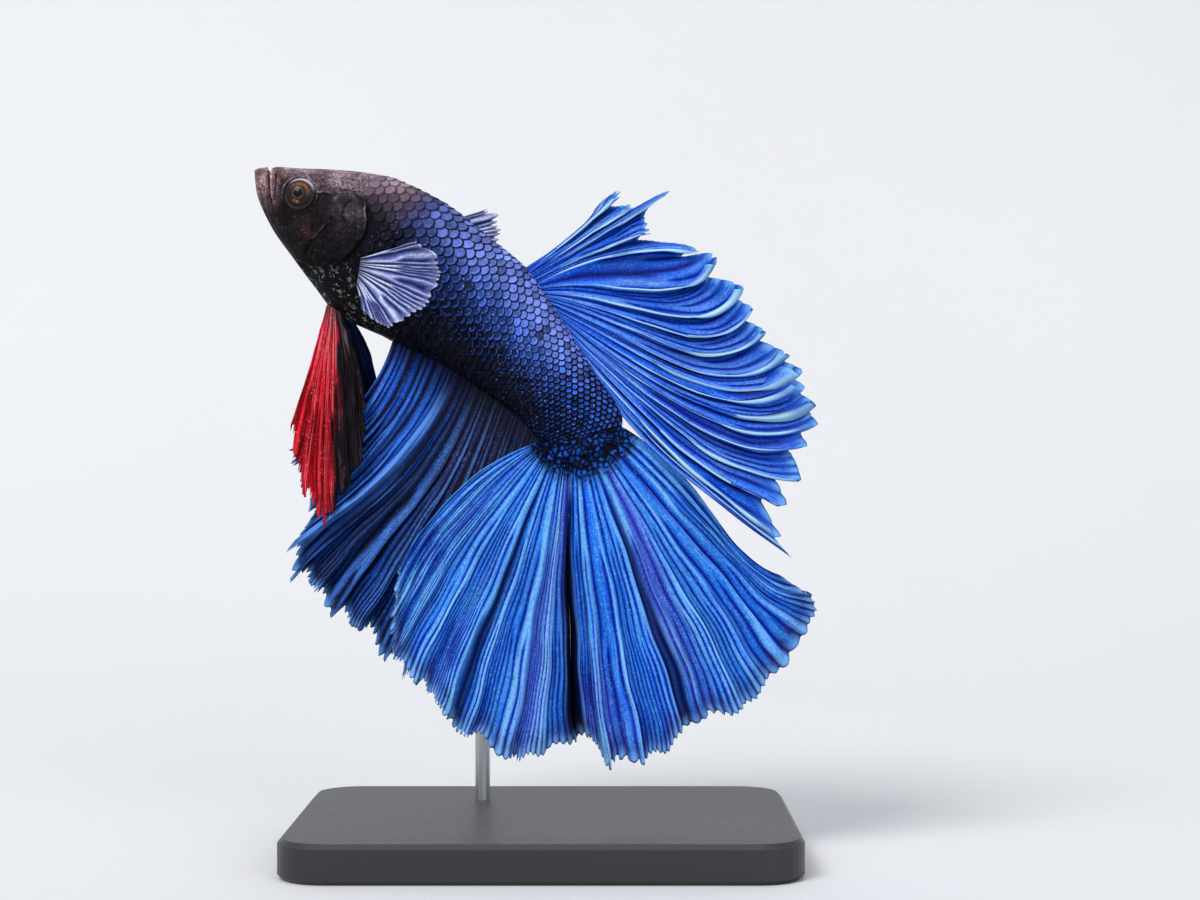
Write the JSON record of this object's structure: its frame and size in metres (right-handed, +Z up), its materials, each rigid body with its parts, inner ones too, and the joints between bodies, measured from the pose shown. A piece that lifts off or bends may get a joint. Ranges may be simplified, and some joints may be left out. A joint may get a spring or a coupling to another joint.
{
  "type": "betta fish display model, long-finned male, on a stand",
  "caption": "Life-size male halfmoon betta fish rising with head up and fins spread, held over a flat base by a curved rod.",
  "frame": {"origin": "centre of the stand base's underside", "axes": "+Z up; the fish faces -X with its head up and shows its left side to -Y"},
  "size_m": [0.0587, 0.04, 0.0721],
  "materials": {
    "head_skin": "satin, near-black brown",
    "flank_skin": "satin, dark skin under blue scales",
    "fin_blue": "satin, royal blue with pale rays",
    "pelvic_red": "satin, red in front and black behind",
    "pectoral_pale": "satin, pale violet rays on a dark web",
    "eye": "glossy, dark with a brown ring",
    "stand_base": "satin black",
    "stand_rod": "plain round steel"
  },
  "bodies": {
    "root": {"head": "head_skin", "lower_jaw": "head_skin", "gill_cover_left": "head_skin", "gill_cover_right": "head_skin", "trunk": "flank_skin", "tail_stem": "flank_skin", "dorsal_fin": "fin_blue", "anal_fin": "fin_blue", "caudal_fin": "fin_blue", "pelvic_fin_left": "pelvic_red", "pelvic_fin_right": "pelvic_red", "pectoral_fin_left": "pectoral_pale", "pectoral_fin_right": "pectoral_pale", "eye_left": "eye", "eye_right": "eye", "stand_base": "stand_base", "stand_rod": "stand_rod"}
  },
  "joints": []
}
